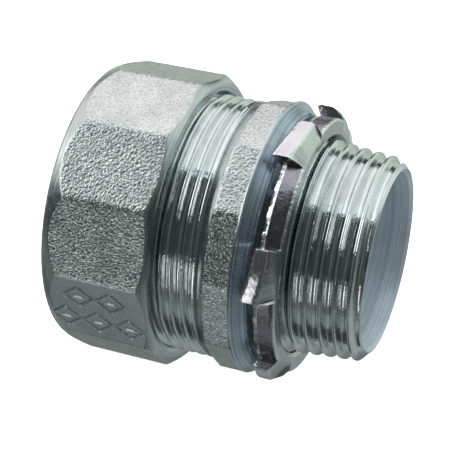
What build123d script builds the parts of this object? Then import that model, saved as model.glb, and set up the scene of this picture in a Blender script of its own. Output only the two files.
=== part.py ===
"""Threaded compression fitting for 3/4 inch rigid conduit: body, nut, gland ring and locknut.

The common axis is X. The origin is on it, in the plane of the shoulder that bears on an enclosure wall.
+X points out along the hub, and -X towards the conduit. All sizes are in millimetres.
"""

from build123d import *
import os
from math import cos, radians, sin, tan

os.makedirs("parts", exist_ok=True)

# Hub: the male end that passes through an enclosure wall
HUB_LENGTH = 13.2
HUB_ROOT_END_CREST = 14.3
HUB_TAPER = 0.085
HUB_PITCH = 25.4 / 14
HUB_DEPTH = 1.0
THROAT = 11.3
MOUTH_CHAMFER = 0.5

# Collar and wrench flats of the body
COLLAR_RADIUS = 18.0
COLLAR_FACE = 16.3
COLLAR_RIM = 0.3
FLATS_LENGTH = 3.6
SIDES = 12
BODY_TURN = 8.4
NUT_TURN = 15.0

# Rear thread of the body, under the nut
REAR_END = -19.0
REAR_CREST = 17.1
REAR_PITCH = 25.4 / 17
REAR_DEPTH = 0.85
RELIEF_LENGTH = 1.0
REAR_CHAMFER = 0.9

# Conduit socket and gland seat
SOCKET = 13.6
STOP = -3.0
SEAT_SLOPE = tan(radians(29.5))
SEAT_START = -15.2

# Compression nut
NUT_FRONT = -12.1
NUT_LENGTH = 14.65
NUT_CORNER = 19.7
NUT_BACK_RADIUS = 18.45
NUT_BACK_CHAMFER = 2.6
NUT_FACE_RADIUS = 18.6
NUT_MOUTH = 17.45
NUT_WALL = 2.0
NUT_ENTRY = 13.8
NUT_CAVITY = 16.6
NUT_THREAD_LENGTH = 8.9
NUT_GROOVE = 0.5

# Gland ring
RING_BORE = 13.65
RING_RADIUS = 16.3
RING_NOSE = 15.4
RING_TIP = 14.1
RING_GAP = 1.2
RING_SHOULDER = 0.8
RING_SPLIT = 2.5
RING_TOOTH = 0.35
RING_TEETH = 4

# Locknut
LOCKNUT_BACK = 0.8
LOCKNUT_THICKNESS = 2.9
LOCKNUT_RADIUS = 16.7
LOCKNUT_DISH = 0.7
LUGS = 6
LUG_RADIUS = 18.2
LUG_ANGLE = 23.0
TIP_REACH = 1.6
TIP_BASE = 2.2
TIP_INNER = 17.3
LOCKNUT_GROOVE = 0.45

RUNNING_CLEARANCE = 0.06
OVERCUT = 0.2

COLLAR_CHAMFER = COLLAR_RADIUS - COLLAR_FACE
FLATS_FRONT = -COLLAR_CHAMFER - COLLAR_RIM
FLATS_BACK = FLATS_FRONT - FLATS_LENGTH
NUT_BACK = NUT_FRONT - NUT_LENGTH


def hub_crest(x):
    """Radius of the tapered hub thread's crests at a distance from the shoulder."""
    return HUB_ROOT_END_CREST - HUB_TAPER * x


def thread_grooves(start, end, pitch, wall, depth):
    """Sections of V grooves one pitch apart in a wall; a negative depth cuts outwards into a bore.

    The wall is given as a function of X that returns its radius.
    """
    mouth, root = 0.86 * pitch, 0.22 * pitch
    overcut = OVERCUT if depth > 0 else -OVERCUT
    flare = mouth / 2 + abs(overcut / depth) * (mouth - root) / 2
    count = int((end - start) / pitch)
    with BuildSketch(Plane.XY) as grooves:
        places = [start + pitch * (turn + 0.5) for turn in range(count)]
        with Locations([(x, wall(x)) for x in places]):
            Polygon((-flare, overcut), (flare, overcut), (root / 2, -depth), (-root / 2, -depth), align=None)
    return grooves.sketch


# Body: hub, collar, wrench flats and rear thread in one turned piece
with BuildPart() as fitting_body:
    with BuildSketch(Plane.XY):
        with BuildLine():
            Polyline(
                (REAR_END, SOCKET + SEAT_SLOPE * (SEAT_START - REAR_END)),
                (REAR_END, REAR_CREST - REAR_CHAMFER),
                (REAR_END + REAR_CHAMFER, REAR_CREST),
                (FLATS_BACK - RELIEF_LENGTH, REAR_CREST),
                (FLATS_BACK - RELIEF_LENGTH, REAR_CREST - REAR_DEPTH),
                (FLATS_BACK, REAR_CREST - REAR_DEPTH),
                (FLATS_BACK, COLLAR_RADIUS),
                (-COLLAR_CHAMFER, COLLAR_RADIUS),
                (0, COLLAR_FACE),
                (0, hub_crest(0) - HUB_DEPTH),
                (HUB_PITCH / 2, hub_crest(0) - HUB_DEPTH),
                (HUB_PITCH / 2, hub_crest(HUB_PITCH / 2)),
                (HUB_LENGTH - HUB_DEPTH, hub_crest(HUB_LENGTH - HUB_DEPTH)),
                (HUB_LENGTH, hub_crest(HUB_LENGTH) - HUB_DEPTH),
                (HUB_LENGTH, THROAT + MOUTH_CHAMFER),
                (HUB_LENGTH - MOUTH_CHAMFER, THROAT),
                (STOP, THROAT),
                (STOP, SOCKET),
                (SEAT_START, SOCKET),
                close=True,
            )
        make_face()
    revolve(axis=Axis.X)
    with BuildSketch(Plane.YZ.offset(FLATS_BACK)):
        Circle(COLLAR_RADIUS + OVERCUT)
        RegularPolygon(COLLAR_RADIUS, SIDES, rotation=BODY_TURN, mode=Mode.SUBTRACT)
    extrude(amount=FLATS_LENGTH, mode=Mode.SUBTRACT)
    revolve(
        thread_grooves(HUB_PITCH / 2, HUB_LENGTH, HUB_PITCH, hub_crest, HUB_DEPTH),
        axis=Axis.X,
        mode=Mode.SUBTRACT,
    )
    revolve(
        thread_grooves(
            REAR_END + REAR_CHAMFER, FLATS_BACK - RELIEF_LENGTH, REAR_PITCH, lambda x: REAR_CREST, REAR_DEPTH
        ),
        axis=Axis.X,
        mode=Mode.SUBTRACT,
    )
fitting_body.part.label = "fitting_body"
export_step(fitting_body.part, "parts/fitting_body.step")


# Compression nut: a twelve-sided cap with a threaded bore and a hole for the conduit in its back wall
nut_bore = REAR_CREST + RUNNING_CLEARANCE
thread_end = NUT_FRONT - NUT_THREAD_LENGTH
with BuildPart() as compression_nut:
    with BuildSketch(Plane.YZ.offset(NUT_BACK)):
        RegularPolygon(NUT_CORNER, SIDES, rotation=NUT_TURN)
    extrude(amount=NUT_LENGTH)
    with BuildSketch(Plane.XY):
        with BuildLine():
            Polyline(
                (NUT_BACK, 0),
                (NUT_BACK, NUT_BACK_RADIUS),
                (NUT_BACK + NUT_BACK_CHAMFER, NUT_CORNER + OVERCUT / 4),
                (NUT_FRONT - NUT_CORNER + NUT_FACE_RADIUS, NUT_CORNER + OVERCUT / 4),
                (NUT_FRONT, NUT_FACE_RADIUS),
                (NUT_FRONT, 0),
                close=True,
            )
        make_face()
    revolve(axis=Axis.X, mode=Mode.INTERSECT)
    with BuildSketch(Plane.XY):
        with BuildLine():
            Polyline(
                (NUT_BACK - OVERCUT, 0),
                (NUT_BACK - OVERCUT, NUT_ENTRY + MOUTH_CHAMFER + OVERCUT),
                (NUT_BACK + MOUTH_CHAMFER, NUT_ENTRY),
                (NUT_BACK + NUT_WALL, NUT_ENTRY),
                (NUT_BACK + NUT_WALL, NUT_CAVITY),
                (thread_end - REAR_PITCH, NUT_CAVITY),
                (thread_end - REAR_PITCH, nut_bore + NUT_GROOVE),
                (thread_end, nut_bore + NUT_GROOVE),
                (thread_end, nut_bore),
                (NUT_FRONT - NUT_MOUTH + nut_bore, nut_bore),
                (NUT_FRONT + OVERCUT, NUT_MOUTH + OVERCUT),
                (NUT_FRONT + OVERCUT, 0),
                close=True,
            )
        make_face()
    revolve(axis=Axis.X, mode=Mode.SUBTRACT)
    revolve(
        thread_grooves(thread_end, NUT_FRONT, REAR_PITCH, lambda x: nut_bore, -NUT_GROOVE),
        axis=Axis.X,
        mode=Mode.SUBTRACT,
    )
compression_nut.part.label = "compression_nut"
export_step(compression_nut.part, "parts/compression_nut.step")


# Gland ring: split, tapered at its nose, with gripping grooves in its bore
ring_back = NUT_BACK + NUT_WALL + RUNNING_CLEARANCE
nose_start = SEAT_START - (RING_NOSE - SOCKET) / SEAT_SLOPE - RING_GAP
nose_tip = SEAT_START - (RING_TIP - SOCKET) / SEAT_SLOPE - RING_GAP
with BuildPart() as gland_ring:
    with BuildSketch(Plane.XY):
        with BuildLine():
            Polyline(
                (ring_back, RING_BORE),
                (ring_back, RING_RADIUS),
                (nose_start - RING_SHOULDER, RING_RADIUS),
                (nose_start - RING_SHOULDER, RING_NOSE),
                (nose_start, RING_NOSE),
                (nose_tip, RING_TIP),
                (nose_tip, RING_BORE),
                close=True,
            )
        make_face()
    revolve(axis=Axis.X)
    tooth_pitch = (nose_tip - ring_back) / (RING_TEETH + 1)
    revolve(
        thread_grooves(ring_back + tooth_pitch / 2, nose_tip, tooth_pitch, lambda x: RING_BORE, -RING_TOOTH),
        axis=Axis.X,
        mode=Mode.SUBTRACT,
    )
    with BuildSketch(Plane.YZ.offset(ring_back - OVERCUT)):
        with Locations((0, RING_BORE)):
            Rectangle(RING_SPLIT, RING_RADIUS)
    extrude(amount=nose_tip - ring_back + 2 * OVERCUT, mode=Mode.SUBTRACT)
gland_ring.part.label = "gland_ring"
export_step(gland_ring.part, "parts/gland_ring.step")


# Locknut: a threaded plate with six lugs dished back, each with one corner bent back over the collar
locknut_bore = hub_crest(HUB_PITCH / 2) + RUNNING_CLEARANCE
locknut_front = LOCKNUT_BACK + LOCKNUT_THICKNESS
lug_half = LUG_RADIUS * sin(radians(LUG_ANGLE / 2))
with BuildPart() as locknut:
    with BuildSketch(Plane.YZ.offset(LOCKNUT_BACK)):
        Circle(LOCKNUT_RADIUS)
        with PolarLocations(0, LUGS):
            with Locations(((LOCKNUT_RADIUS + LUG_RADIUS) / 2, 0)):
                Rectangle(LUG_RADIUS - LOCKNUT_RADIUS + 2, 2 * lug_half)
        Circle(LUG_RADIUS, mode=Mode.INTERSECT)
    extrude(amount=LOCKNUT_THICKNESS)
    for lug in range(LUGS):
        around = radians(360 / LUGS * lug)
        outward = Vector(0, cos(around), sin(around))
        tangent = Vector(0, -sin(around), cos(around))
        corner = Plane(origin=outward * TIP_INNER * cos(radians(LUG_ANGLE / 2)), x_dir=tangent, z_dir=outward)
        with BuildSketch(corner):
            with BuildLine():
                Polyline(
                    (lug_half - TIP_BASE, LOCKNUT_BACK + LOCKNUT_THICKNESS / 2),
                    (lug_half, LOCKNUT_BACK + LOCKNUT_THICKNESS / 2),
                    (lug_half, LOCKNUT_BACK - TIP_REACH + OVERCUT),
                    (lug_half - OVERCUT, LOCKNUT_BACK - TIP_REACH),
                    (lug_half - TIP_BASE, LOCKNUT_BACK),
                    close=True,
                )
            make_face()
        extrude(amount=(LUG_RADIUS - TIP_INNER) * cos(radians(LUG_ANGLE / 2)))
    with BuildSketch(Plane.XY):
        with BuildLine():
            Polyline(
                (locknut_front, LOCKNUT_RADIUS - OVERCUT),
                (locknut_front - LOCKNUT_DISH, LUG_RADIUS),
                (locknut_front - LOCKNUT_DISH, LUG_RADIUS + OVERCUT),
                (locknut_front + OVERCUT, LUG_RADIUS + OVERCUT),
                (locknut_front + OVERCUT, LOCKNUT_RADIUS - OVERCUT),
                close=True,
            )
        make_face()
    revolve(axis=Axis.X, mode=Mode.SUBTRACT)
    with BuildSketch(Plane.YZ.offset(LOCKNUT_BACK - OVERCUT)):
        Circle(locknut_bore)
    extrude(amount=LOCKNUT_THICKNESS + 2 * OVERCUT, mode=Mode.SUBTRACT)
    revolve(
        thread_grooves(
            LOCKNUT_BACK + OVERCUT, locknut_front, 0.7 * HUB_PITCH, lambda x: locknut_bore, -LOCKNUT_GROOVE
        ),
        axis=Axis.X,
        mode=Mode.SUBTRACT,
    )
locknut.part.label = "locknut"
export_step(locknut.part, "parts/locknut.step")
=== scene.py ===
"""Visual model of a zinc-plated conduit compression fitting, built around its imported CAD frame.

Sizes are millimetres, turned into metres when a mesh is made. The fitting's axis is X, and an angle about it
is measured from +Y towards +Z. A turned piece is a list of rows that goes once round its section. Each row is
a place along the axis, a radius and a material, and the first two may change with the angle.
"""

import math

import bmesh
import bpy
import numpy as np
from mathutils import Matrix, Vector


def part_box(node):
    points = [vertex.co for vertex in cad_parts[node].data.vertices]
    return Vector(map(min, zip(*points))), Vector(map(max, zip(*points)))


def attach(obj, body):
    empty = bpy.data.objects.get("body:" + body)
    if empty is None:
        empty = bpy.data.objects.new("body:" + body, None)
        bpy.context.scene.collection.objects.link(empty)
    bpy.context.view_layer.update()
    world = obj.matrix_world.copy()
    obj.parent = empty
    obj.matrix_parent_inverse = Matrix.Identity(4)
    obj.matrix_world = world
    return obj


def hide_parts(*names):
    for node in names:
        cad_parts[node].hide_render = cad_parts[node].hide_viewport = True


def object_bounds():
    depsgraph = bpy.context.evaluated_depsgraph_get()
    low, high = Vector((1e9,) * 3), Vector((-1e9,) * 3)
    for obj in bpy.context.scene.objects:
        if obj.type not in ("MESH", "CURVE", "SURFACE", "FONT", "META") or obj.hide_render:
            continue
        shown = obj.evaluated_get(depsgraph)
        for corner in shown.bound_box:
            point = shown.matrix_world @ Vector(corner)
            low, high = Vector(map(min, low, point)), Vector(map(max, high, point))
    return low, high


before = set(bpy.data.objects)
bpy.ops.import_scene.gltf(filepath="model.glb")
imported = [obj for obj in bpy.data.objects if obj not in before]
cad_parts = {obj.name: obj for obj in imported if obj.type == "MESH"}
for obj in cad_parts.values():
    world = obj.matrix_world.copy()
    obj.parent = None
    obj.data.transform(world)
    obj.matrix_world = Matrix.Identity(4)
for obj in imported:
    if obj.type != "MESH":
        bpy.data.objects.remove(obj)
cad_low, cad_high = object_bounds()

MM = 0.001
OUT_OF_ROUND = 0.0004
FULL_TURN = 2 * math.pi
SIDES = 12
SECTOR = FULL_TURN / SIDES
CORNER_ROUNDING = 0.25
CORNER_SHARE = 0.35
CORNER_BLUNT = CORNER_ROUNDING * (math.sqrt(2) - 1) * CORNER_SHARE

body_low, body_high = (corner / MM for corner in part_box("fitting_body"))
nut_low, nut_high = (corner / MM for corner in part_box("compression_nut"))
lock_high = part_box("locknut")[1] / MM

# Thread form: half the crest and half the root as shares of a turn, and the root's hollow as one of the depth
CREST_HALF = 0.06
ROOT_HALF = 0.16
ROOT_HOLLOW = 0.10
STEPS_PER_PITCH = 16

# Hub thread: tapered, with a groove rolled along its crest, and chamfered at the mouth
HUB_END = body_high.x
HUB_PITCH = 25.4 / 14
HUB_DEPTH = 1.0
HUB_CREST = 14.3
HUB_TAPER = 0.085
HUB_CREST_HALF = 0.09
HUB_ROOT_HALF = 0.17
HUB_PHASE = 0.2
HUB_THREAD_START = 0.4
HUB_LEAD = 1.1
HUB_LEAD_DEPTH = 1.15
ROLLED_DEPTH = 0.07
ROLLED_HALF = 0.035
HUB_FACE = 12.0
THROAT = 11.3

# Collar and wrench flats
COLLAR = 18.0
COLLAR_FACE = 16.3
COLLAR_BACK = -1.7
FLATS_FRONT = -2.0
FLATS_BACK = -5.6
FLATS_FOOT = 17.05
FLATS_FOOT_SLOPE = 0.42
BODY_TURN = math.radians(8.4)

# Rear thread, conduit socket and gland seat
REAR_END = body_low.x
REAR_CREST = 17.1
REAR_PITCH = 25.4 / 17
REAR_DEPTH = 0.85
REAR_PHASE = 0.35
REAR_LEAD = 1.0
REAR_LEAD_DEPTH = 0.9
REAR_RUNOUT = 0.6
RELIEF_BACK = -6.7
RELIEF_RADIUS = REAR_CREST - 0.62
SOCKET = 13.6
STOP = -3.0
SEAT_START = -15.2
SEAT_SLOPE = math.tan(math.radians(29.5))
SEAT_MOUTH = SOCKET + SEAT_SLOPE * (SEAT_START - REAR_END)

# Compression nut
NUT_BACK = nut_low.x
NUT_FRONT = nut_high.x
NUT_FLAT = nut_high.z
NUT_CORNER = 19.7
NUT_BACK_RADIUS = 18.45
NUT_BACK_SLOPE = (NUT_CORNER - NUT_BACK_RADIUS) / 2.7
NUT_FACE = 18.6
NUT_FACE_SLOPE = (NUT_CORNER - NUT_FACE) / 1.1
NUT_TURN = math.radians(15)
NUT_FLAT_ROWS = 100
NUT_BORE = 17.2
NUT_ROOT = NUT_BORE + 0.12
NUT_MOUTH = NUT_BORE + 0.32
NUT_RECESS = NUT_BORE + 0.4
NUT_RECESS_LENGTH = 1.5
NUT_CREST = 16.5
NUT_CREST_HALF = 0.05
NUT_LEAD_START = NUT_FRONT - 0.75
NUT_LEAD = 0.7
NUT_THREAD_BACK = NUT_FRONT - 8.9
NUT_THREAD_STEPS = 8
NUT_ENTRY = 13.8
NUT_CAVITY = 16.6
NUT_WALL_FRONT = NUT_BACK + 2.0

# Lozenges stamped on one flat of the nut: places along and across the flat, their shape and the line's width
MARK_FACET = math.radians(210)
MARK_PLACES = [(3.2, 2.1), (7.6, 2.1), (12.0, 2.1), (5.4, -2.0), (9.8, -2.0)]
MARK_HALF_LENGTH = 1.95
MARK_HALF_WIDTH = 1.65
MARK_REACH = 1.75
MARK_LINE = 0.17
MARK_BAR_HALF = 0.75
MARK_BAR_LINE = 0.16
MARK_BAR_END = 0.2
MARK_DEPTH = 0.13

# Locknut
LOCK_BACK = 0.8
LOCK_FRONT = lock_high.x
LOCK_THICK = LOCK_FRONT - LOCK_BACK
LOCK_RADIUS = 16.7
LOCK_BORE = 14.28
LOCK_CHAMFER = 0.4
LOCK_GROOVE = 0.45
LUG_RADIUS = lock_high.y
LUGS = 6
LUG_STEP = 360 / LUGS
LUG_SECTOR = math.radians(LUG_STEP)
LUG_HALF = math.radians(11.5)
LUG_BEND = 1.6
LUG_BEND_START = 0.12
LUG_BEND_POWER = 1.7
LUG_LEAN_POWER = 1.3
LUG_ROOT = 15.6
LUG_BEVEL = 0.95
LUG_BEVEL_LOSS = 0.5
# Raggedness of a lug's rim, of the rim between lugs and of the bend, and how far it shifts an edge
LUG_RAG, GAP_RAG, BEND_RAG, EDGE_RAG = 0.05, 0.03, 0.07, 0.12

SMOOTH_ANGLE = 32.0
LUG_SMOOTH_ANGLE = 40.0
WELD = 0.002 * MM
ANGLE_SLACK = 1e-6


# ---------------------------------------------------------------- mesh tools


def make_piece(name, points, faces, skins, numbers, smooth_angle=SMOOTH_ANGLE):
    """A mesh object from points in millimetres, shaded smooth up to an angle."""
    mesh = bpy.data.meshes.new(name)
    mesh.from_pydata((np.asarray(points) * MM).tolist(), [], faces)
    mesh.validate()
    for skin in skins:
        mesh.materials.append(skin)
    mesh.polygons.foreach_set("material_index", numbers.ravel().astype(np.int32))
    piece = bpy.data.objects.new(name, mesh)
    bpy.context.scene.collection.objects.link(piece)
    weld(mesh)
    mesh.polygons.foreach_set("use_smooth", np.ones(len(mesh.polygons), bool))
    mesh.set_sharp_from_angle(angle=math.radians(smooth_angle))
    return piece


def weld(mesh):
    """Joins the seam and removes the empty faces left where rows meet."""
    work = bmesh.new()
    work.from_mesh(mesh)
    bmesh.ops.remove_doubles(work, verts=work.verts, dist=WELD)
    bmesh.ops.dissolve_degenerate(work, edges=work.edges, dist=WELD)
    bmesh.ops.recalc_face_normals(work, faces=work.faces)
    work.to_mesh(mesh)
    work.free()


def turned(rows, angles, skins):
    """Points, faces and skin numbers of a turned skin that closes on itself along its section."""
    count = len(angles)
    x = np.array([np.broadcast_to(row[0], count) for row in rows], float)
    radius = np.array([np.broadcast_to(row[1], count) for row in rows], float)
    points = np.stack([x, radius * np.cos(angles), radius * np.sin(angles)], axis=-1).reshape(-1, 3)
    faces = []
    for i in range(len(rows)):
        k = (i + 1) % len(rows)
        for j in range(count - 1):
            faces.append((i * count + j, i * count + j + 1, k * count + j + 1, k * count + j))
    numbers = np.repeat([[skins.index(row[2])] for row in rows], count - 1, axis=1)
    return points, faces, numbers


def full_turn(start, step_deg, fine_from=0.0, fine_to=0.0, fine_step_deg=0.25):
    """Angles round a full turn, with the first repeated at the end, and finer over one stretch."""
    coarse = np.arange(0, 360, step_deg)
    fine = np.arange(fine_from, fine_to, fine_step_deg)
    degrees = np.unique(np.round(np.concatenate([coarse, fine, [360.0]]), 4))
    return start + np.radians(degrees)


def polygon(angles, corner_radius, turn):
    """Radius of a twelve-sided prism at each angle, with its corners blunted a little."""
    apothem = corner_radius * math.cos(SECTOR / 2)
    off_flat = (angles - turn) % SECTOR - SECTOR / 2
    return np.minimum(apothem / np.cos(off_flat), corner_radius - CORNER_BLUNT)


def eased(value):
    """Smooth step from 0 to 1."""
    value = np.clip(value, 0, 1)
    return value * value * (3 - 2 * value)


def ridge(turns, crest_half=CREST_HALF, root_half=ROOT_HALF):
    """Height of a thread, 0 at its root and 1 at its crest, at a position in turns, with eased corners."""
    off = np.abs(turns % 1.0 - 0.5)
    rise = np.clip((off - root_half) / (0.5 - crest_half - root_half), 0, 1)
    hollow = ROOT_HOLLOW * np.clip(off / root_half, 0, 1) ** 2
    return hollow + (1 - ROOT_HOLLOW) * (0.5 * rise + 0.5 * eased(rise))


def thread_rows(low, high, pitch, angles, wall, skin, phase, steps=STEPS_PER_PITCH):
    """Rows that follow a right-hand helix between two planes; wall(x, turns) gives the radius there."""
    turn = (angles - angles[0]) / FULL_TURN
    count = int(math.ceil((high - low) / pitch * steps)) + steps
    rows = []
    for i in range(count + 1):
        base = low + pitch * (i / steps - 1)
        x = np.clip(base + pitch * turn, low, high)
        rows.append((x, wall(x, (x - low) / pitch - turn + phase), skin))
    return rows


def spread(start, end, count):
    """Evenly spaced values between two ends, both left out."""
    return [start + (end - start) * (i + 1) / (count + 1) for i in range(count)]


# ---------------------------------------------------------------- node tools

# The Mix node's colour sockets
MIX_FIRST, MIX_SECOND, MIX_RESULT = 6, 7, 2


def noise(nodes, links, vector, scale, detail=2.0, rough=0.5):
    node = nodes.new("ShaderNodeTexNoise")
    node.inputs["Scale"].default_value = scale
    node.inputs["Detail"].default_value = detail
    node.inputs["Roughness"].default_value = rough
    links.new(vector, node.inputs["Vector"])
    return node.outputs["Fac"]


def ramp(nodes, links, value, low, high, colors):
    node = nodes.new("ShaderNodeValToRGB")
    node.color_ramp.elements[0].position = low
    node.color_ramp.elements[1].position = high
    for element, color in zip(node.color_ramp.elements, colors):
        element.color = (*color, 1.0)
    links.new(value, node.inputs["Fac"])
    return node.outputs["Color"]


def remap(nodes, links, value, low, high, to_low, to_high):
    node = nodes.new("ShaderNodeMapRange")
    for key, number in (("From Min", low), ("From Max", high), ("To Min", to_low), ("To Max", to_high)):
        node.inputs[key].default_value = number
    links.new(value, node.inputs["Value"])
    return node.outputs["Result"]


def math_node(nodes, links, operation, first, second):
    node = nodes.new("ShaderNodeMath")
    node.operation = operation
    for socket, value in zip(node.inputs, (first, second)):
        if isinstance(value, (int, float)):
            socket.default_value = value
        else:
            links.new(value, socket)
    return node.outputs[0]


def mix_colors(nodes, links, kind, factor, first, second):
    """Two colours mixed; the factor and the second colour may be plain values."""
    node = nodes.new("ShaderNodeMix")
    node.data_type = "RGBA"
    node.blend_type = kind
    links.new(first, node.inputs[MIX_FIRST])
    if isinstance(factor, float):
        node.inputs["Factor"].default_value = factor
    else:
        links.new(factor, node.inputs["Factor"])
    if isinstance(second, tuple):
        node.inputs[MIX_SECOND].default_value = second
    else:
        links.new(second, node.inputs[MIX_SECOND])
    return node.outputs[MIX_RESULT]


def bump(nodes, links, height, strength, distance, normal):
    node = nodes.new("ShaderNodeBump")
    node.inputs["Strength"].default_value = strength
    node.inputs["Distance"].default_value = distance
    links.new(height, node.inputs["Height"])
    if normal is not None:
        links.new(normal, node.inputs["Normal"])
    return node.outputs["Normal"]


def axial(nodes, links, vector):
    """Coordinates for turning marks, the same all round the axis: the distance along it, and the radius."""
    split = nodes.new("ShaderNodeSeparateXYZ")
    links.new(vector, split.inputs[0])
    squares = [math_node(nodes, links, "MULTIPLY", split.outputs[part], split.outputs[part]) for part in "YZ"]
    radius = math_node(nodes, links, "SQRT", math_node(nodes, links, "ADD", *squares), 0.0)
    join = nodes.new("ShaderNodeCombineXYZ")
    links.new(split.outputs["X"], join.inputs["X"])
    links.new(radius, join.inputs["Y"])
    return join.outputs[0]


# ---------------------------------------------------------------- materials

# Noise scales, and bump heights in metres
BLOTCH_SCALE = 260.0
SPECKLE_SCALE = 3600.0
GLOSS_SCALE = 1500.0
PIT_SCALE = 2.3
PIT_SHARE = 0.35
RING_SCALE = 5200.0
DENT_SCALE = 700.0
GRAIN_HEIGHT = 0.00013
RING_HEIGHT = 0.00005
DENT_HEIGHT = 0.00012
# Parts of a noise's range that are spread over a tint or a gloss, over streaks, and over speckles
TINT_SPAN, STREAK_SPAN, SPECKLE_SPAN = (0.3, 0.7), (0.35, 0.65), (0.38, 0.60)


def zinc(name, dark, light, gloss, grain=0.0, grain_scale=2600.0, lathe=0.0, dents=0.0, metal=1.0,
         streaks=0.0, streak_scale=4200.0, speckle=0.0):
    """Bright zinc plate: blotchy tint and gloss, with forged grain, turning lines and small dents as asked.

    gloss is the lowest and highest roughness.
    """
    material = bpy.data.materials.new(name)
    material.use_nodes = True
    nodes, links = material.node_tree.nodes, material.node_tree.links
    shader = nodes["Principled BSDF"]
    shader.inputs["Metallic"].default_value = metal
    where = nodes.new("ShaderNodeTexCoord").outputs["Object"]

    tint = ramp(nodes, links, noise(nodes, links, where, BLOTCH_SCALE, 4.0, 0.6), *TINT_SPAN, (dark, light))
    if streaks:
        lines = noise(nodes, links, axial(nodes, links, where), streak_scale, 2.0, 0.6)
        share = remap(nodes, links, lines, *STREAK_SPAN, 1.0 - streaks, 1.0)
        tint = mix_colors(nodes, links, "MULTIPLY", 1.0, tint, share)
    if speckle:
        grains = noise(nodes, links, where, SPECKLE_SCALE, 1.0, 0.5)
        share = remap(nodes, links, grains, *SPECKLE_SPAN, 1.0 - speckle, 1.0)
        tint = mix_colors(nodes, links, "MULTIPLY", 1.0, tint, share)
    links.new(tint, shader.inputs["Base Color"])
    fine = noise(nodes, links, where, GLOSS_SCALE, 3.0, 0.6)
    links.new(remap(nodes, links, fine, *TINT_SPAN, *gloss), shader.inputs["Roughness"])

    normal = None
    if grain:
        coarse = noise(nodes, links, where, grain_scale, 2.0, 0.55)
        pits = noise(nodes, links, where, grain_scale * PIT_SCALE, 1.0, 0.5)
        height = math_node(nodes, links, "ADD", coarse, math_node(nodes, links, "MULTIPLY", pits, PIT_SHARE))
        normal = bump(nodes, links, height, grain, GRAIN_HEIGHT, normal)
    if lathe:
        lines = noise(nodes, links, axial(nodes, links, where), RING_SCALE, 3.0, 0.7)
        normal = bump(nodes, links, lines, lathe, RING_HEIGHT, normal)
    if dents:
        marks = noise(nodes, links, where, DENT_SCALE, 3.0, 0.6)
        normal = bump(nodes, links, marks, dents, DENT_HEIGHT, normal)
    if normal is not None:
        links.new(normal, shader.inputs["Normal"])
    return material


# Forged wrench flats, and the smoother stamped one
grainy = zinc("zinc_forged_flat", (0.56, 0.62, 0.60), (0.72, 0.77, 0.75), (0.05, 0.09),
              grain=1.0, grain_scale=2900.0, speckle=0.22)
matte_zinc = zinc("zinc_mark_flat", (0.50, 0.55, 0.56), (0.62, 0.67, 0.68), (0.24, 0.34),
                  grain=0.4, grain_scale=3600.0)
# Turned chamfers, threads, throat and collar; the collar's darker, bluer tone is painted shade from the
# locknut beside it
turned_face = zinc("zinc_turned", (0.50, 0.56, 0.56), (0.64, 0.69, 0.69), (0.16, 0.28),
                   lathe=0.55, streaks=0.2)
threaded = zinc("zinc_thread", (0.62, 0.68, 0.68), (0.80, 0.85, 0.85), (0.04, 0.10),
                lathe=0.5, dents=0.5, streaks=0.15)
bore = zinc("zinc_bore", (0.36, 0.44, 0.50), (0.46, 0.54, 0.60), (0.34, 0.46),
            lathe=1.0, metal=0.6, streaks=0.4, streak_scale=11000.0)
collar_painted_shade_zinc = zinc("zinc_collar_painted_shade", (0.34, 0.43, 0.52), (0.46, 0.55, 0.64), (0.14, 0.22),
                   lathe=0.7, metal=0.9, streaks=0.55, streak_scale=2600.0)
dark_inside = zinc("zinc_inside", (0.38, 0.42, 0.43), (0.50, 0.54, 0.55), (0.30, 0.45), lathe=0.6, dents=0.2)
# Locknut: its faces, the rims of its lugs, the rim between them, darker as painted shade, and the torn metal
# along sheared edges, brighter as a painted highlight
stamped = zinc("zinc_stamped", (0.50, 0.54, 0.53), (0.66, 0.70, 0.68), (0.20, 0.32), dents=0.35)
stamped_rim = zinc("zinc_stamped_rim", (0.56, 0.56, 0.59), (0.74, 0.74, 0.77), (0.14, 0.26), dents=0.6)
# Darker copy of the rim's plating, for the rim between the lugs: painted shade
rim_painted_shade = zinc("zinc_rim_painted_shade", (0.20, 0.19, 0.22), (0.34, 0.33, 0.37), (0.18, 0.32), dents=0.7)
# Sheared edges: torn metal, also made brighter than the plating as a painted highlight
sheared_painted_highlight = zinc("zinc_sheared_painted_highlight", (0.66, 0.68, 0.68), (0.86, 0.88, 0.87), (0.12, 0.30),
               grain=0.6, grain_scale=1700.0, dents=0.5)


# ---------------------------------------------------------------- body


def rear_wall(x, turns):
    """Radius of the rear thread: chamfered at the body's end, and shallower where it runs out."""
    crest = REAR_CREST - REAR_LEAD_DEPTH * (1 - np.clip((x - REAR_END) / REAR_LEAD, 0, 1))
    cut = REAR_CREST - REAR_DEPTH * (1 - ridge(turns))
    return np.minimum(crest, REAR_CREST + (cut - REAR_CREST) * eased((RELIEF_BACK - x) / REAR_RUNOUT))


def hub_wall(x, turns):
    """Radius of the hub's thread: tapered, chamfered at the mouth, with a fine groove along its crest."""
    crest = HUB_CREST - HUB_TAPER * x
    lead = np.clip((HUB_END - x) / HUB_LEAD, 0, 1)
    limit = crest - (1.0 - lead) * HUB_LEAD_DEPTH
    from_crest = 0.5 - np.abs(turns % 1.0 - 0.5)
    rolled = ROLLED_DEPTH * np.exp(-((from_crest / ROLLED_HALF) ** 2))
    return np.minimum(limit, crest - HUB_DEPTH * (1 - ridge(turns, HUB_CREST_HALF, HUB_ROOT_HALF)) - rolled)


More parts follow.
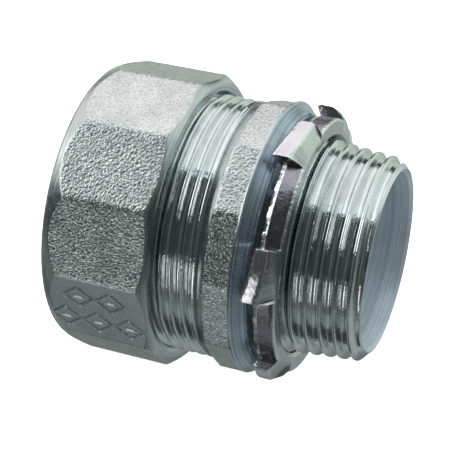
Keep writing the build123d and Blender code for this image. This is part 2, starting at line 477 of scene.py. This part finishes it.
def rear_rows(angles):
    """From the gland seat's mouth over the rear thread to the turned relief."""
    rows = [(REAR_END, SEAT_MOUTH, dark_inside), (REAR_END, REAR_CREST - REAR_LEAD_DEPTH, threaded)]
    rows += thread_rows(REAR_END, RELIEF_BACK, REAR_PITCH, angles, rear_wall, threaded, REAR_PHASE)
    return rows + [
        (RELIEF_BACK + 0.12, REAR_CREST - 0.1, turned_face),
        (RELIEF_BACK + 0.22, RELIEF_RADIUS, turned_face),
        (FLATS_BACK - 0.35, RELIEF_RADIUS, turned_face),
        (FLATS_BACK - 0.12, RELIEF_RADIUS + 0.12, turned_face),
    ]


def flats_rows(flats):
    """The twelve wrench flats, scalloped by the cone that chamfers their back."""
    cone = FLATS_BACK + (flats - FLATS_FOOT) * FLATS_FOOT_SLOPE
    rows = [(FLATS_BACK, FLATS_FOOT, turned_face), (cone - 0.03, flats - 0.05, turned_face)]
    rows += [(cone + 0.05, flats, grainy)]
    rows += [(cone * (1 - share) + FLATS_FRONT * share, flats, grainy) for share in spread(0, 1, 6)]
    return rows + [
        (FLATS_FRONT, flats, turned_face),
        (FLATS_FRONT + 0.03, flats + (COLLAR - 0.06 - flats) * 0.8, turned_face),
    ]


def collar_rows():
    """The collar's rim, its chamfer and the shoulder that bears on the wall."""
    rows = [(FLATS_FRONT + 0.09, COLLAR - 0.04, turned_face), (COLLAR_BACK - 0.07, COLLAR, turned_face)]
    # The collar's chamfer and shoulder take the darker, bluer zinc: painted shade from the locknut
    rows += [(COLLAR_BACK + 0.03, COLLAR - 0.03, collar_painted_shade_zinc)]
    back_x, back_radius = COLLAR_BACK, COLLAR - 0.05
    front_x, front_radius = -0.12, COLLAR_FACE + 0.12
    for share in (0.08, 0.5, 0.95):
        x = back_x * (1 - share) + front_x * share
        rows.append((x, back_radius * (1 - share) + front_radius * share, collar_painted_shade_zinc))
    shoulder = COLLAR_FACE - 0.15
    foot = HUB_CREST - HUB_DEPTH + 0.25
    rows += [(-0.03, COLLAR_FACE - 0.02, collar_painted_shade_zinc), (0.0, shoulder, collar_painted_shade_zinc)]
    return rows + [(0.0, radius, collar_painted_shade_zinc) for radius in spread(shoulder, foot, 4)]


def hub_rows(angles):
    """The hub's thread, from its root at the shoulder to the mouth."""
    root = HUB_CREST - HUB_DEPTH
    rows = [(0.0, root + 0.25, threaded), (0.1, root + 0.05, threaded), (0.3, root, threaded)]
    rows += thread_rows(HUB_THREAD_START, HUB_END - 0.02, HUB_PITCH, angles, hub_wall, threaded, HUB_PHASE)
    return rows + [(HUB_END, HUB_FACE, turned_face), (HUB_END, HUB_FACE - 0.1, turned_face)]


def bore_rows():
    """The throat's rounded mouth, the throat, the conduit's stop and the socket."""
    throat_start = HUB_END - 0.6
    rows = [(HUB_END - 0.06, HUB_FACE - 0.22, bore), (HUB_END - 0.45, THROAT + 0.04, bore)]
    rows += [(throat_start, THROAT, bore)]
    rows += [(x, THROAT, bore) for x in spread(throat_start, STOP + 0.2, 5)]
    rows += [(STOP + 0.2, THROAT, bore), (STOP, THROAT + 0.2, bore)]
    rows += [(STOP, SOCKET - 0.1, dark_inside), (STOP - 0.1, SOCKET, dark_inside)]
    rows += [(x, SOCKET, dark_inside) for x in spread(STOP - 0.1, SEAT_START, 6)]
    return rows + [(SEAT_START, SOCKET, dark_inside)]


def make_body():
    angles = full_turn(BODY_TURN, 1.25)
    rows = rear_rows(angles) + flats_rows(polygon(angles, COLLAR, BODY_TURN)) + collar_rows()
    rows += hub_rows(angles) + bore_rows()
    skins = [threaded, turned_face, grainy, bore, collar_painted_shade_zinc, dark_inside]
    points, faces, numbers = turned(rows, angles, skins)
    wavy = 0.02 * np.sin(7 * angles) + 0.015 * np.sin(13 * angles + 1.0)
    points[:, 1:] *= (1 + OUT_OF_ROUND * np.tile(wavy, len(rows)))[:, None]
    piece = make_piece("body_shell", points, faces, skins, numbers)
    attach(piece, "body")
    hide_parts("fitting_body")


# ---------------------------------------------------------------- compression nut


def mark_depth(along, across):
    """Depth of the shallow stamped lozenges on one flat, each an outline with a bar in it."""
    depth = np.zeros(np.broadcast(along, across).shape)
    for middle, side in MARK_PLACES:
        lozenge = np.abs(along - middle) / MARK_HALF_LENGTH + np.abs(across - side) / MARK_HALF_WIDTH
        outline = np.exp(-(((lozenge - 1.0) * MARK_REACH / MARK_LINE) ** 2))
        bar = np.exp(-(((across - side) / MARK_BAR_LINE) ** 2))
        bar = bar * eased((MARK_BAR_HALF - np.abs(along - middle)) / MARK_BAR_END)
        depth += np.maximum(outline, bar)
    return np.minimum(depth, 1.0) * MARK_DEPTH


def nut_wall(x, turns):
    """Radius of the nut's internal thread, opened out at the mouth."""
    lead = NUT_CREST + np.clip((x - NUT_LEAD_START) / NUT_LEAD, 0, 1) * (NUT_MOUTH - NUT_CREST)
    return np.maximum(lead, NUT_ROOT - (NUT_ROOT - NUT_CREST) * (1 - ridge(turns, NUT_CREST_HALF)))


def nut_back_rows(back):
    """The conduit's entry, the back face and the scalloped back chamfer, which ends at the line given."""
    face_edge = NUT_BACK_RADIUS - 0.4
    rows = [(NUT_BACK + 0.5, NUT_ENTRY, dark_inside), (NUT_BACK + 0.05, NUT_ENTRY + 0.45, turned_face)]
    rows += [(NUT_BACK, NUT_ENTRY + 0.55, turned_face)]
    rows += [(NUT_BACK, radius, turned_face) for radius in spread(NUT_ENTRY + 0.55, face_edge, 5)]
    rows += [(NUT_BACK, face_edge, turned_face), (NUT_BACK + 0.06, NUT_BACK_RADIUS - 0.16, turned_face)]
    rows += [(NUT_BACK + 0.25, NUT_BACK_RADIUS + 0.06, turned_face)]
    for share in spread(0.12, 1.0, 5):
        x = NUT_BACK * (1 - share) + back * share
        rows.append((x, NUT_BACK_RADIUS + (x - NUT_BACK) * NUT_BACK_SLOPE, turned_face))
    return rows


def nut_flat_rows(flats, back, front, marked, across):
    """The twelve flats between the two chamfers, with the lozenges pressed into the marked one."""
    rows = [(back - 0.06, flats - 0.03, turned_face), (back + 0.05, flats, grainy)]
    for step in range(1, NUT_FLAT_ROWS):
        share = step / NUT_FLAT_ROWS
        x = (back + 0.05) * (1 - share) + (front - 0.05) * share
        rows.append((x, flats - np.where(marked, mark_depth(x - NUT_BACK, across), 0.0), grainy))
    return rows + [(front - 0.05, flats, turned_face)]


def nut_front_rows(flats, front):
    """The scalloped front chamfer, the front face and the edge of the mouth."""
    return [
        (front + 0.04, flats - 0.04, turned_face),
        (front * 0.5 + NUT_FRONT * 0.5, (flats + NUT_FACE) / 2, turned_face),
        (NUT_FRONT - 0.08, NUT_FACE + 0.07, turned_face),
        (NUT_FRONT, NUT_FACE - 0.06, turned_face),
        (NUT_FRONT, (NUT_FACE + NUT_MOUTH) / 2, turned_face),
        (NUT_FRONT, NUT_MOUTH + 0.05, turned_face),
        (NUT_FRONT - 0.05, NUT_MOUTH, threaded),
    ]


def nut_inside_rows(angles):
    """The internal thread, in phase with the body's, then its end recess and the cavity for the ring."""
    phase = ((NUT_THREAD_BACK - REAR_END) / REAR_PITCH + REAR_PHASE) % 1.0
    rows = thread_rows(
        NUT_THREAD_BACK, NUT_FRONT - 0.06, REAR_PITCH, angles, nut_wall, threaded, phase, NUT_THREAD_STEPS
    )
    recess_back = NUT_THREAD_BACK - NUT_RECESS_LENGTH
    return rows[::-1] + [
        (NUT_THREAD_BACK - 0.1, NUT_RECESS, dark_inside),
        (recess_back, NUT_RECESS, dark_inside),
        (recess_back, NUT_CAVITY, dark_inside),
        (NUT_WALL_FRONT, NUT_CAVITY, dark_inside),
        (NUT_WALL_FRONT, NUT_ENTRY + 0.1, dark_inside),
        (NUT_WALL_FRONT - 0.1, NUT_ENTRY, dark_inside),
    ]


def make_nut():
    facet_from = math.degrees(MARK_FACET - SECTOR / 2 - NUT_TURN) % 360
    angles = full_turn(NUT_TURN, 1.0, facet_from, facet_from + math.degrees(SECTOR))
    flats = polygon(angles, NUT_CORNER, NUT_TURN)
    back = NUT_BACK + (flats - NUT_BACK_RADIUS) / NUT_BACK_SLOPE
    front = NUT_FRONT - (flats - NUT_FACE) / NUT_FACE_SLOPE
    off_facet = (angles - MARK_FACET + math.pi) % FULL_TURN - math.pi
    marked = np.abs(off_facet) < SECTOR / 2 - ANGLE_SLACK
    across = NUT_FLAT * np.tan(np.clip(off_facet, -SECTOR, SECTOR))
    rows = nut_back_rows(back) + nut_flat_rows(flats, back, front, marked, across)
    rows += nut_front_rows(flats, front) + nut_inside_rows(angles)
    skins = [threaded, turned_face, grainy, matte_zinc, dark_inside]
    points, faces, numbers = turned(rows, angles, skins)
    numbers[(numbers == skins.index(grainy)) & marked[:-1][None, :]] = skins.index(matte_zinc)
    piece = make_piece("nut_shell", points, faces, skins, numbers)
    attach(piece, "nut")
    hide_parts("compression_nut")


# ---------------------------------------------------------------- locknut


def lug_angles():
    """Degrees round the locknut, closer together at the ends of each lug."""
    close = [
        LUG_STEP * lug + side * (math.degrees(LUG_HALF) + extra)
        for lug in range(LUGS + 1)
        for side in (-1, 1)
        for extra in (-1.2, -0.6, -0.3, 0.0, 0.15, 0.5, 0.9)
    ]
    degrees = np.unique(np.round(np.concatenate([np.arange(0, 360.01, 1.0), close]), 4))
    return degrees[(degrees >= 0) & (degrees <= 360)]


def make_locknut():
    """Stamped plate nut: each lug leans back more towards one end, and its sheared edges are ragged and
    brightened as a painted highlight.
    """
    degrees = lug_angles()
    angles = np.radians(degrees)
    off = (angles + LUG_SECTOR / 2) % LUG_SECTOR - LUG_SECTOR / 2
    lug = np.round(degrees / LUG_STEP) % LUGS
    jag = 0.5 * np.sin(37 * angles + 5 * lug) + 0.3 * np.sin(91 * angles) + 0.2 * np.sin(173 * angles + 2)
    first_edge = eased((LUG_HALF + math.radians(0.5) + off) / math.radians(1.3))
    on_lug = first_edge * eased((LUG_HALF + math.radians(0.12) - off) / math.radians(0.24))
    rim = LOCK_RADIUS + (LUG_RADIUS - LOCK_RADIUS) * on_lug
    rim = rim - LUG_RAG * (1 + jag) * on_lug - GAP_RAG * (1 - on_lug) * (1 + np.sin(11 * angles))
    along_lug = np.clip((off + LUG_HALF) / (2 * LUG_HALF), 0, 1)
    bend = LUG_BEND * on_lug * (LUG_BEND_START + (1 - LUG_BEND_START) * along_lug ** LUG_BEND_POWER)
    bend = bend * (1 - BEND_RAG * (1 + jag))
    rows = []

    def add(depth, radius, skin):
        """Adds a row; depth is measured from the front face back towards the collar."""
        out = np.clip((radius - LUG_ROOT) / (LUG_RADIUS - LUG_ROOT), 0, 1)
        bevel = (LUG_BEVEL - LUG_BEVEL_LOSS * along_lug) * out * (1 - depth / LOCK_THICK) * on_lug
        rows.append((LOCK_FRONT - depth - bend * out ** LUG_LEAN_POWER - bevel, radius, skin))

    add(0.35, LOCK_BORE, stamped)
    add(0.0, LOCK_BORE + LOCK_CHAMFER, stamped)
    for radius in (15.4, 15.9, 16.3):
        add(0.0, np.minimum(radius, rim - 0.4), stamped)
    # The front edge of the rim: sheared metal brightened as a painted highlight
    add(0.0, rim - 0.32, sheared_painted_highlight)
    add(0.10, rim - 0.10, sheared_painted_highlight)
    add(0.28 + 0.06 * jag, rim, stamped_rim)
    for share in (0.3, 0.55, 0.75):
        add(LOCK_THICK * share, rim + 0.02 * jag * share, stamped_rim)
    # The back edge of the rim: sheared metal brightened as a painted highlight
    add(LOCK_THICK - 0.86 + EDGE_RAG * jag, rim, sheared_painted_highlight)
    add(LOCK_THICK - 0.20 + EDGE_RAG * jag, rim - 0.17, sheared_painted_highlight)
    add(LOCK_THICK - 0.05 + 0.05 * jag, rim - 0.38, stamped)
    for radius in (16.2, 15.8, 15.3):
        add(LOCK_THICK, np.minimum(radius, rim - 0.5), stamped)
    add(LOCK_THICK, LOCK_BORE + LOCK_CHAMFER, threaded)
    add(LOCK_THICK - 0.35, LOCK_BORE, threaded)
    for depth in spread(LOCK_THICK - 0.35, 0.35, 20):
        turns = -depth / HUB_PITCH - angles / FULL_TURN
        add(depth, LOCK_BORE + LOCK_GROOVE * (0.5 - 0.5 * np.cos(FULL_TURN * turns)), threaded)

    skins = [stamped, stamped_rim, sheared_painted_highlight, threaded, rim_painted_shade]
    points, faces, numbers = turned(rows, angles, skins)
    rim_number, torn_highlight_number = skins.index(stamped_rim), skins.index(sheared_painted_highlight)
    # The rim between the lugs takes the darker copy of the rim's plating: painted shade
    numbers[(numbers == rim_number) & (on_lug[1:] < 0.5)[None, :]] = skins.index(rim_painted_shade)
    # The lug ends also take the bright sheared skin: painted highlight on torn metal
    lug_end = np.abs(np.diff(on_lug)) > 0.05
    numbers[np.isin(numbers, (rim_number, torn_highlight_number)) & lug_end[None, :]] = torn_highlight_number
    piece = make_piece("locknut_plate", points, faces, skins, numbers, LUG_SMOOTH_ANGLE)
    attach(piece, "hub_locknut")
    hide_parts("locknut")


# ---------------------------------------------------------------- gland ring


def finish_ring():
    """The ring keeps its own shape, and gets the plating of the nut's inside."""
    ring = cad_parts["gland_ring"]
    ring.data.materials.clear()
    ring.data.materials.append(dark_inside)


# ---------------------------------------------------------------- stage, light and camera

# Camera: how it is turned about the fitting, its lens, and its place
YAW = math.radians(17.6)
ROLL = math.radians(12.1)
TILT = math.radians(16.6)
LENS = 116.0
SENSOR = 36.0
CAMERA_DISTANCE = 188.5
CAMERA_SHIFT = (8.46, 1.96)

# Clip distances, floor and lights, in metres
CLIP_START, CLIP_END = 0.005, 20.0
FLOOR_HALF = 0.7
FLOOR_SCALE = 40.0
OVERHEAD_PLACE, OVERHEAD_SIZE, OVERHEAD_POWER = (-0.10, -0.06, 0.42), (0.50, 0.34), 0.25
WASH_PLACE, WASH_SIZE, WASH_POWER = (0.0, 0.1, 0.9), (1.4, 1.4), 24.0

# Brightness and tint of the studio by angle about the fitting's axis: 0 at the camera, -90 overhead
COOL, GREEN, PINK = (0.93, 1.02, 1.02), (0.93, 1.04, 0.96), (1.03, 0.98, 1.0)
STUDIO = [
    (-180, 0.34, COOL), (-156, 0.66, GREEN), (-148, 0.62, GREEN), (-144, 0.10, COOL), (-131, 0.08, COOL),
    (-126, 1.12, PINK), (-60, 1.24, PINK), (-46, 1.46, COOL), (-40, 0.10, COOL), (10, 0.07, COOL),
    (62, 0.07, COOL), (80, 0.18, COOL), (86, 0.34, COOL), (100, 0.34, COOL), (108, 0.07, COOL),
    (130, 0.07, COOL), (136, 0.42, COOL), (152, 0.28, GREEN), (166, 0.16, COOL), (180, 0.34, COOL),
]
# The same beyond the threaded end
END_STUDIO = [
    (-180, 0.50, COOL), (-155, 0.90, GREEN), (-90, 0.95, GREEN), (-60, 0.80, COOL), (-34, 0.16, COOL),
    (60, 0.10, COOL), (110, 0.24, COOL), (180, 0.50, COOL),
]
# Where one gives way to the other, and where the studio goes dark past the end, as parts along the axis
END_BLEND = (0.15, 0.45)
END_DARK = (0.80, 0.95)
END_DARK_TINT = (0.16, 0.17, 0.18)
# Panels beside and below: (part along the axis, angle about it, half width and edge in degrees, brightness)
PANELS = [(-0.77, -25, 13, 5, 2.0), (-0.36, 48, 7, 4, 1.5), (-0.30, 62, 7, 4, 1.2)]
# Colour ramps stop at 1, so the studio's colours are divided by this, and the World's strength is this
WORLD_STRENGTH = 2.0

axis = Vector((1, 0, 0))
near = Vector((0, -math.cos(TILT), math.sin(TILT)))
over = Vector((0, math.sin(TILT), math.cos(TILT)))


def make_camera():
    towards = axis * math.sin(YAW) + near * math.cos(YAW)
    level = axis * math.cos(YAW) - near * math.sin(YAW)
    right = level * math.cos(ROLL) + over * math.sin(ROLL)
    up = over * math.cos(ROLL) - level * math.sin(ROLL)
    data = bpy.data.cameras.new("camera")
    data.sensor_width = SENSOR
    data.lens = LENS
    data.clip_start, data.clip_end = CLIP_START, CLIP_END
    camera = bpy.data.objects.new("camera", data)
    bpy.context.scene.collection.objects.link(camera)
    place = towards * CAMERA_DISTANCE - right * CAMERA_SHIFT[0] + up * CAMERA_SHIFT[1]
    turn = Matrix((right, up, towards)).transposed().to_4x4()
    camera.matrix_world = Matrix.Translation(place * MM) @ turn
    bpy.context.scene.camera = camera


def area_light(name, place, size, power):
    """A rectangular light aimed at the origin, which the metal doesn't reflect."""
    data = bpy.data.lights.new(name, "AREA")
    data.shape = "RECTANGLE"
    data.size, data.size_y = size
    data.energy = power
    light = bpy.data.objects.new(name, data)
    bpy.context.scene.collection.objects.link(light)
    light.location = place
    light.rotation_euler = (Vector() - Vector(place)).to_track_quat("-Z", "Y").to_euler()
    light.visible_glossy = False
    return light


def make_lights():
    area_light("overhead", OVERHEAD_PLACE, OVERHEAD_SIZE, OVERHEAD_POWER)
    wash = area_light("floor_wash", WASH_PLACE, WASH_SIZE, WASH_POWER)
    wash.data.use_shadow = False


def make_floor():
    """A pale sheet under the fitting, which the metal doesn't reflect."""
    corners = [(x * FLOOR_HALF, y * FLOOR_HALF) for x, y in ((-1, -1), (1, -1), (1, 1), (-1, 1))]
    mesh = bpy.data.meshes.new("floor")
    mesh.from_pydata([(x, y, cad_low.z) for x, y in corners], [], [(0, 1, 2, 3)])
    floor = bpy.data.objects.new("floor", mesh)
    bpy.context.scene.collection.objects.link(floor)
    material = bpy.data.materials.new("floor_paper")
    material.use_nodes = True
    nodes, links = material.node_tree.nodes, material.node_tree.links
    shader = nodes["Principled BSDF"]
    shader.inputs["Roughness"].default_value = 0.9
    shader.inputs["Specular IOR Level"].default_value = 0.1
    where = nodes.new("ShaderNodeTexCoord").outputs["Object"]
    greys = ((0.86, 0.86, 0.86), (0.88, 0.88, 0.88))
    tint = ramp(nodes, links, noise(nodes, links, where, FLOOR_SCALE), *TINT_SPAN, greys)
    links.new(tint, shader.inputs["Base Color"])
    mesh.materials.append(material)
    floor.visible_glossy = False


def make_world():
    """A studio round the fitting's axis: a softbox overhead, dark beside the camera, pale below.

    The metal reflects it. The camera itself sees plain white in its place.
    """
    world = bpy.data.worlds.new("studio")
    bpy.context.scene.world = world
    world.use_nodes = True
    nodes, links = world.node_tree.nodes, world.node_tree.links
    background = nodes["Background"]
    where = nodes.new("ShaderNodeTexCoord").outputs["Generated"]

    def along(direction):
        node = nodes.new("ShaderNodeVectorMath")
        node.operation = "DOT_PRODUCT"
        node.inputs[1].default_value = direction
        links.new(where, node.inputs[0])
        return node.outputs["Value"]

    around = math_node(nodes, links, "ARCTAN2", along(-over), along(near))
    share = remap(nodes, links, around, -math.pi, math.pi, 0.0, 1.0)

    def rounds(stops):
        node = nodes.new("ShaderNodeValToRGB")
        links.new(share, node.inputs["Fac"])
        points = node.color_ramp.elements
        points.remove(points[0])
        for index, (degrees, bright, tint) in enumerate(stops):
            place = (degrees + 180) / 360
            point = points[0] if index == 0 else points.new(place)
            point.position = place
            point.color = (*(bright * part / WORLD_STRENGTH for part in tint), 1.0)
        return node.outputs["Color"]

    length = along(axis)
    past_end = remap(nodes, links, length, *END_BLEND, 0.0, 1.0)
    lit = mix_colors(nodes, links, "MIX", past_end, rounds(STUDIO), rounds(END_STUDIO))
    dark_end = ramp(nodes, links, length, *END_DARK, ((1, 1, 1), END_DARK_TINT))
    lit = mix_colors(nodes, links, "MULTIPLY", 1.0, lit, dark_end)
    for part, degrees, half, edge, bright in PANELS:
        angle = math.radians(degrees)
        about = near * math.cos(angle) - over * math.sin(angle)
        panel = along(axis * part + about * math.sqrt(1 - part * part))
        inside, outside = math.cos(math.radians(half)), math.cos(math.radians(half + edge))
        glare = remap(nodes, links, panel, outside, inside, 0.0, bright / WORLD_STRENGTH)
        lit = mix_colors(nodes, links, "ADD", 1.0, lit, glare)
    seen = nodes.new("ShaderNodeLightPath").outputs["Is Camera Ray"]
    white = (1 / WORLD_STRENGTH, 1 / WORLD_STRENGTH, 1 / WORLD_STRENGTH, 1.0)
    links.new(mix_colors(nodes, links, "MIX", seen, lit, white), background.inputs["Color"])
    background.inputs["Strength"].default_value = WORLD_STRENGTH


make_body()
make_nut()
make_locknut()
finish_ring()
make_camera()
make_floor()
make_world()
make_lights()
bpy.context.scene.view_settings.view_transform = "Standard"
